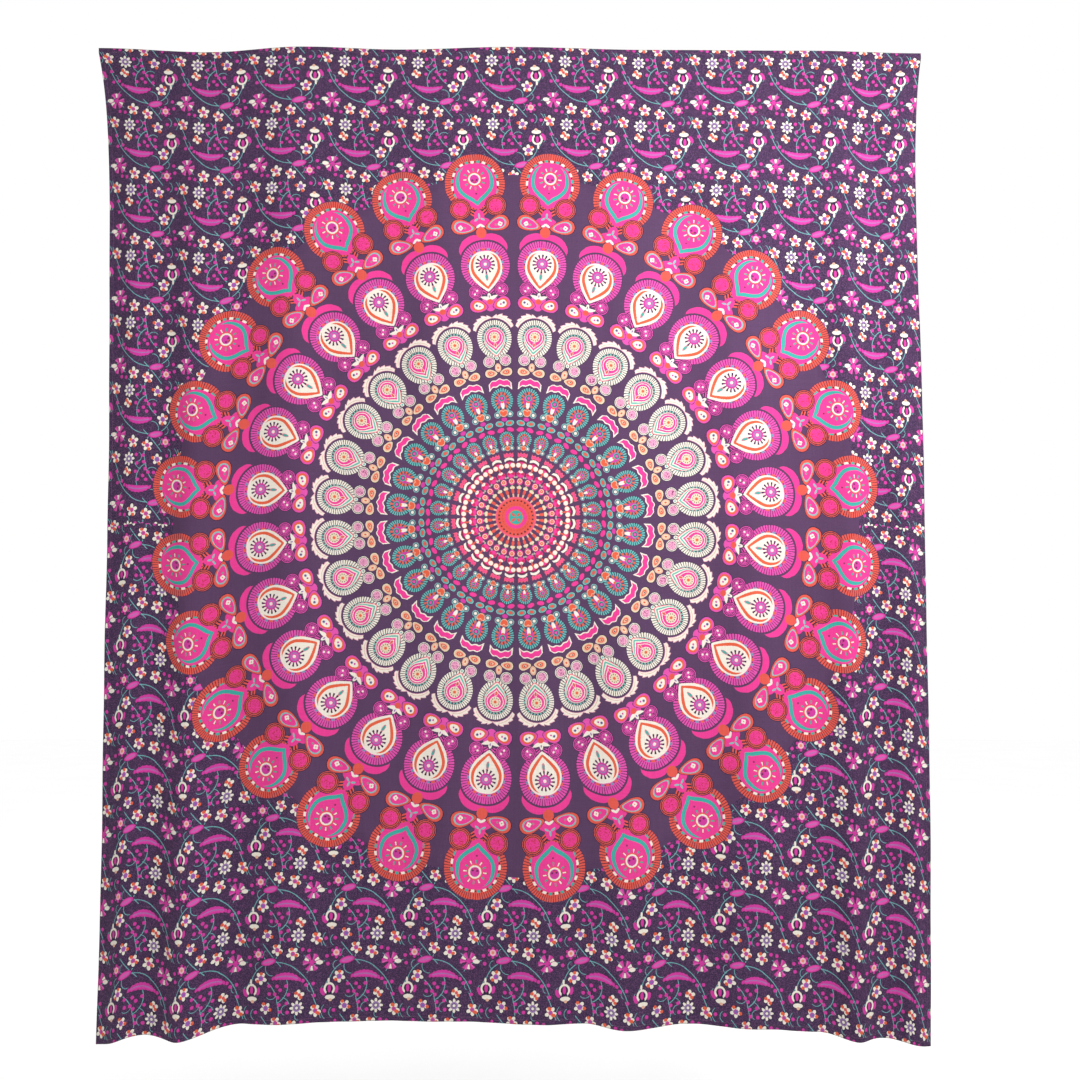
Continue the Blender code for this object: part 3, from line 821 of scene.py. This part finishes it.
def cotton(name, print_group, through):
    """Plain-woven cotton that shows the print. through is the share of the ink that has reached
    this side; where it is under 1 the ink comes and goes in blotches over bare cotton. Threads
    of uneven thickness streak the colour and stand up in the light, the seam gathers the cloth
    in short ripples, and a narrow band round the outer fold of the hem is made darker."""
    material, tree, shader = worked_material(name, 0.86)
    flat = add_node(tree, "UVMap", {}, uv_map="cloth")
    colour = add_node(tree, "Group", {0: flat}, node_tree=print_group)
    if through < 1:
        blotch = add_node(tree, "TexNoise", {"Vector": flat, "Scale": 22.0, "Detail": 5.0})
        share = work("MULTIPLY_ADD", blotch, 0.5, through - 0.25, clamp=True)
        colour = add_node(tree, "Mix", {0: share, 6: (0.44, 0.37, 0.43, 1), 7: colour}, 2,
                          data_type="RGBA")
    x = add_node(tree, "SeparateXYZ", {0: flat})
    y = Term(x.socket.node.outputs[1])
    streaks = []
    for stretch in ((9, 1100, 0), (1100, 9, 0)):
        threads = vector_work("MULTIPLY", flat, stretch)
        streaks.append(add_node(tree, "TexNoise", {"Vector": threads, "Scale": 1.0, "Detail": 1.0},
                                noise_dimensions="2D"))
    slub = streaks[0] + streaks[1]
    patchy = add_node(tree, "TexNoise", {"Vector": flat, "Scale": 3.5, "Detail": 2.0})
    tone = work("MULTIPLY_ADD", slub, 0.26, 0.66) + patchy * 0.16
    inset = work("MINIMUM", work("SUBTRACT", CLOTH_WIDTH / 2, work("ABSOLUTE", x)),
                 work("SUBTRACT", CLOTH_HEIGHT / 2, work("ABSOLUTE", y)))
    # The colour is made darker in a narrow band round the outer fold of the hem.
    darker_fold_band = between(inset, -0.0018, 0.0014)
    tone = tone * work("MULTIPLY_ADD", darker_fold_band, -0.55, 1.0)
    shaded = vector_work("SCALE", colour)
    tree.links.new(tone.socket, shaded.socket.node.inputs["Scale"])
    tree.links.new(shaded.socket, shader.inputs["Base Color"])
    weave = work("SINE", x * 5900) * work("SINE", y * 5900)
    ripple = work("SINE", (x + y) * 350 + patchy * 9)
    gather = ripple * work("EXPONENT", work("ABSOLUTE", inset) * -75)
    height = slub * 0.00018 + weave * 0.00005 + gather * 0.0006
    bump = add_node(tree, "Bump", {"Height": height, "Distance": 1.0, "Strength": 0.8})
    tree.links.new(bump.socket, shader.inputs["Normal"])
    shader.inputs["Specular IOR Level"].default_value = 0.2
    shader.inputs["Sheen Weight"].default_value = 0.10
    shader.inputs["Sheen Roughness"].default_value = 0.45
    return material


prints = [draw_print("print border", True, False), draw_print("print rim", True, True),
          draw_print("print middle", False, True)]
faces = [cotton(group.name + ", face", group, 1.0) for group in prints]
reverses = [cotton(group.name + ", reverse", group, 0.5) for group in prints]
panel = make_panel(faces + reverses)
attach(panel, "root")
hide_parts("printed_panel")


# The four hems.
# Each edge of the cloth is turned to the back twice and stitched down, so the band behind shows
# the printed face again, and the cloth rolls round the outer fold. Top and bottom run right
# across, and the side hems fit between them.

HEM_FRONT = 0.00095
FOLD_RADIUS = 0.00085
SIDE_HEM_START = 0.0123
HEM_STEPS = 480
MAP_ROWS = 16


def hem_section():
    """The hem's section as a closed loop of (inset from the outer edge, place ahead of the
    wall): an arc for the outer roll, the lip on the panel's face, the hidden side, an arc for
    the inner fold, and the back with the dent that its stitches pull in."""
    turn = np.linspace(-np.pi / 2, np.pi / 2, 7)
    roll = np.stack([FOLD_RADIUS * (1 - np.cos(turn)), FOLD_RADIUS * (1 + np.sin(turn))], -1)
    lip = [[0.0013, 0.00164], [0.00145, 0.00144], [0.0005, 0.00142], [0.0005, 0.00100]]
    hidden = [[0.0030, HEM_FRONT], [0.0070, HEM_FRONT], [0.0113, HEM_FRONT]]
    turn = np.linspace(np.pi / 2, -np.pi / 2, 5)[1:-1]
    fold = np.stack([0.0115 + HEM_FRONT / 2 * np.cos(turn), HEM_FRONT / 2 * (1 + np.sin(turn))], -1)
    back = [[0.0114, 0.0], [0.0105, 0.00018], [0.0096, 0.0], [0.0062, 0.0], [0.0028, 0.0]]
    return np.concatenate([roll, lip, hidden, fold, back])


def carry(name, rings, flat, material):
    """Joins rings of points along a path into one closed piece. flat is each point's place on
    the flat cloth. The second map cuts the path into MAP_ROWS lengths and stacks them."""
    steps, count = rings.shape[:2]
    ring = np.arange(steps * count).reshape(steps, count)
    after = np.roll(ring, -1, axis=1)
    quads = np.stack([ring[:-1], after[:-1], after[1:], ring[1:]], -1).reshape(-1, 4)
    caps = [ring[0][::-1], ring[-1]]
    step, side = np.divmod(np.arange(len(quads)), count)
    row, place = np.divmod(step, -(-(steps - 1) // MAP_ROWS))
    length = 1 / (-(-(steps - 1) // MAP_ROWS))
    low, high = side / count, (side + 1) / count
    u = 0.005 + 0.99 * np.stack([place, place, place + 1, place + 1], -1) * length
    v = (row[:, None] + 0.05 + 0.9 * np.stack([low, high, high, low], -1)) / MAP_ROWS * 0.97
    turn = 2 * np.pi * np.arange(count) / count
    disc = np.stack([np.cos(turn), np.sin(turn)], -1) * 0.006
    baked = [np.stack([u, v], -1).reshape(-1, 2), disc[::-1] + (0.02, 0.985), disc + (0.05, 0.985)]
    flat = flat.reshape(-1, 2)
    maps = {"cloth": flat[np.concatenate([quads.ravel(), *caps])], "OFBake": np.concatenate(baked)}
    return make_piece(name, rings.reshape(-1, 3), quads, maps, [material], 0, caps)


def make_hem(name, node, length, place):
    """Carries the section along one edge. place turns (along, inset) into (across, down)."""
    section = hem_section()
    along = np.linspace(0, length, HEM_STEPS + 1)[:, None]
    swell = 1 + 0.03 * np.sin(along * 520 + 1.8 * np.sin(along * 61))
    pull = 0.00016 * np.sin(along * 410 + 2.2 * np.sin(along * 37 + 1)) * section[:, 0] / HEM_DEPTH
    rings = hang(*place(along, section[:, 0] + pull), section[:, 1] * swell)
    outside = np.where(section[:, 1] > FOLD_RADIUS, section[:, 0], -section[:, 0])
    across, down = np.broadcast_arrays(*place(along, outside + 0 * along))
    hem = carry(name, rings, np.stack([across, CLOTH_HEIGHT / 2 - down], -1), faces[0])
    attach(hem, "root")
    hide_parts(node)
    return hem


side = CLOTH_WIDTH / 2
side_length = CLOTH_HEIGHT - 2 * SIDE_HEM_START
hems = [
    make_hem("cloth_top_hem", "top_hem", CLOTH_WIDTH,
             lambda along, inset: (along - side, inset)),
    make_hem("cloth_right_hem", "right_hem", side_length,
             lambda along, inset: (side - inset, SIDE_HEM_START + along)),
    make_hem("cloth_bottom_hem", "bottom_hem", CLOTH_WIDTH,
             lambda along, inset: (side - along, CLOTH_HEIGHT - inset)),
    make_hem("cloth_left_hem", "left_hem", side_length,
             lambda along, inset: (inset - side, CLOTH_HEIGHT - SIDE_HEM_START - along)),
]


# The seams.
# A lockstitch runs round each hem, 10.5 mm in from the outer fold: a needle thread that lies on
# the face and a bobbin thread on the back, which dip into the cloth every 3 mm and cross there.

SEAM_FROM_EDGE = 0.0105
THREAD_RADIUS = 0.00025
STITCH = 0.003
POINTS_A_STITCH = 6
THREAD_SIDES = 5


def make_seam(name, node, length, place, on_face):
    """A round thread whose centre line rises over each stitch as a half sine wave, dips below
    the surface between stitches, and slants a little from side to side."""
    stitches = int(length / STITCH) // MAP_ROWS * MAP_ROWS
    along = np.linspace(0, length, stitches * POINTS_A_STITCH + 1)
    arch = np.sqrt(np.abs(np.sin(np.pi * along / length * stitches)))
    height = THREAD_RADIUS * (1.3 * arch - 0.9)
    slant = 0.00007 * np.cos(2 * np.pi * along / length * stitches)
    surface = PANEL_BACK + CLOTH_THICKNESS if on_face else 0.0001
    ahead = surface + height if on_face else surface - height
    across, down = place(along, SEAM_FROM_EDGE + slant)
    line = hang(across, down, ahead)
    ahead_of = np.gradient(line, axis=0)
    ahead_of /= np.linalg.norm(ahead_of, axis=1, keepdims=True)
    forward = np.array([0, -1.0, 0]) - ahead_of * -ahead_of[:, 1:2]
    forward /= np.linalg.norm(forward, axis=1, keepdims=True)
    aside = np.cross(ahead_of, forward)
    turn = (2 * np.pi * np.arange(THREAD_SIDES) / THREAD_SIDES)[:, None]
    rings = line[:, None] + THREAD_RADIUS * (
        np.cos(turn) * forward[:, None] + np.sin(turn) * aside[:, None])
    flat = np.stack([np.broadcast_to(along[:, None], rings.shape[:2]),
                     np.broadcast_to(turn[:, 0], rings.shape[:2])], -1)
    seam = carry(name, rings, flat, sewing_cotton)
    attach(seam, "root")
    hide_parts(node)
    return seam


def sewing_thread():
    """Two-ply cotton thread: a sine wave that climbs round it raises the plies and is painted as shade in
    the grooves between them.
    """
    material, tree, shader = worked_material("sewing cotton", 0.7)
    flat = add_node(tree, "UVMap", {}, uv_map="cloth")
    along = add_node(tree, "SeparateXYZ", {0: flat})
    turn = Term(along.socket.node.outputs[1])
    ply = work("SINE", along * 9000 + turn * 2)
    uneven = add_node(tree, "TexNoise", {"Vector": flat, "Scale": 60.0, "Detail": 2.0})
    # The colour follows the ply wave: painted shade in the grooves between the plies, lighter on their
    # crowns, plus random tone from the noise.
    share = work("MULTIPLY_ADD", ply, 0.3, 0.35) + uneven * 0.4
    colour = add_node(tree, "Mix", {0: share, 6: (0.055, 0.018, 0.045, 1), 7: (0.20, 0.07, 0.14, 1)},
                      2, data_type="RGBA")
    tree.links.new(colour.socket, shader.inputs["Base Color"])
    bump = add_node(tree, "Bump", {"Height": ply, "Distance": 0.00005, "Strength": 0.8})
    tree.links.new(bump.socket, shader.inputs["Normal"])
    shader.inputs["Sheen Weight"].default_value = 0.3
    return material


sewing_cotton = sewing_thread()
seams = []
for layer, on_face in (("needle", True), ("bobbin", False)):
    side_start = 0.0015
    reach = CLOTH_WIDTH - 2 * side_start
    drop = CLOTH_HEIGHT - 2 * (SEAM_FROM_EDGE + 0.0008)
    seams += [
        make_seam(f"top_{layer}_stitches", f"top_{layer}_thread", reach,
                  lambda along, inset: (along - side + side_start, inset), on_face),
        make_seam(f"right_{layer}_stitches", f"right_{layer}_thread", drop,
                  lambda along, inset: (side - inset, SEAM_FROM_EDGE + 0.0008 + along), on_face),
        make_seam(f"bottom_{layer}_stitches", f"bottom_{layer}_thread", reach,
                  lambda along, inset: (side - side_start - along, CLOTH_HEIGHT - inset), on_face),
        make_seam(f"left_{layer}_stitches", f"left_{layer}_thread", drop,
                  lambda along, inset: (inset - side, CLOTH_HEIGHT - SEAM_FROM_EDGE - 0.0008 - along),
                  on_face),
    ]


# The room.
# A plain pale floor some way below the cloth, a white studio all round, and two soft lights.

FLOOR_BELOW = 0.45
floor_mesh = bpy.data.meshes.new("studio_floor")
level = cad_box[0].z - FLOOR_BELOW
floor_mesh.from_pydata([(-20, -20, level), (20, -20, level), (20, 20, level), (-20, 20, level)],
                       [], [(0, 1, 2, 3)])
floor = bpy.data.objects.new("studio_floor", floor_mesh)
bpy.context.scene.collection.objects.link(floor)
floor_paint, tree, shader = worked_material("pale floor", 0.6)
mottle = add_node(tree, "TexNoise", {"Vector": add_node(tree, "TexCoord", {}, 3), "Scale": 2.0})
pale = add_node(tree, "Mix", {0: mottle, 6: (0.93, 0.93, 0.93, 1), 7: (0.97, 0.97, 0.97, 1)}, 2,
                data_type="RGBA")
tree.links.new(pale.socket, shader.inputs["Base Color"])
floor_mesh.materials.append(floor_paint)

world = bpy.data.worlds.new("white studio")
bpy.context.scene.world = world
world.use_nodes = True
tree = world.node_tree
seen, lighting = tree.nodes["Background"], tree.nodes.new("ShaderNodeBackground")
seen.inputs["Color"].default_value = (1, 1, 1, 1)
lighting.inputs["Color"].default_value = (1, 1, 1, 1)
lighting.inputs["Strength"].default_value = 0.28
path, choice = tree.nodes.new("ShaderNodeLightPath"), tree.nodes.new("ShaderNodeMixShader")
tree.links.new(path.outputs["Is Camera Ray"], choice.inputs["Fac"])
tree.links.new(lighting.outputs[0], choice.inputs[1])
tree.links.new(seen.outputs[0], choice.inputs[2])
tree.links.new(choice.outputs[0], tree.nodes["World Output"].inputs["Surface"])


def soft_light(name, place, target, size, power):
    """A square area light at place that faces target."""
    lamp = bpy.data.lights.new(name, "AREA")
    lamp.size = size
    lamp.energy = power
    light = bpy.data.objects.new(name, lamp)
    bpy.context.scene.collection.objects.link(light)
    aim = np.array(target) - place
    across = math.hypot(aim[0], aim[1])
    light.location = place
    light.rotation_euler = (math.pi / 2 + math.atan2(aim[2], across), 0, math.atan2(-aim[0], aim[1]))
    return light


key = soft_light("key", (1.25, -1.9, -0.1), (0.3, 0, -0.7), 0.8, 25)
key.data.spread = math.radians(115)
soft_light("side", (3.3, -1.5, -1.0), (0, 0, -0.9), 0.9, 22)
sun = bpy.data.objects.new("overhead", bpy.data.lights.new("overhead", "SUN"))
sun.data.energy = 2.75
sun.data.angle = math.radians(60)
sun.rotation_euler = (math.radians(6), 0, math.radians(20))
bpy.context.scene.collection.objects.link(sun)


# The camera.
# It stands a little over three metres back, at about two thirds of the cloth's height, and
# looks slightly up.

camera_data = bpy.data.cameras.new("camera")
camera_data.lens = 43.7
camera_data.sensor_width = 36
camera = bpy.data.objects.new("camera", camera_data)
bpy.context.scene.collection.objects.link(camera)
camera.location = (0.077, -3.2, -1.551)
camera.rotation_euler = (math.radians(90 + 5.34), 0, 0)
bpy.context.scene.camera = camera
bpy.context.scene.view_settings.view_transform = "Standard"
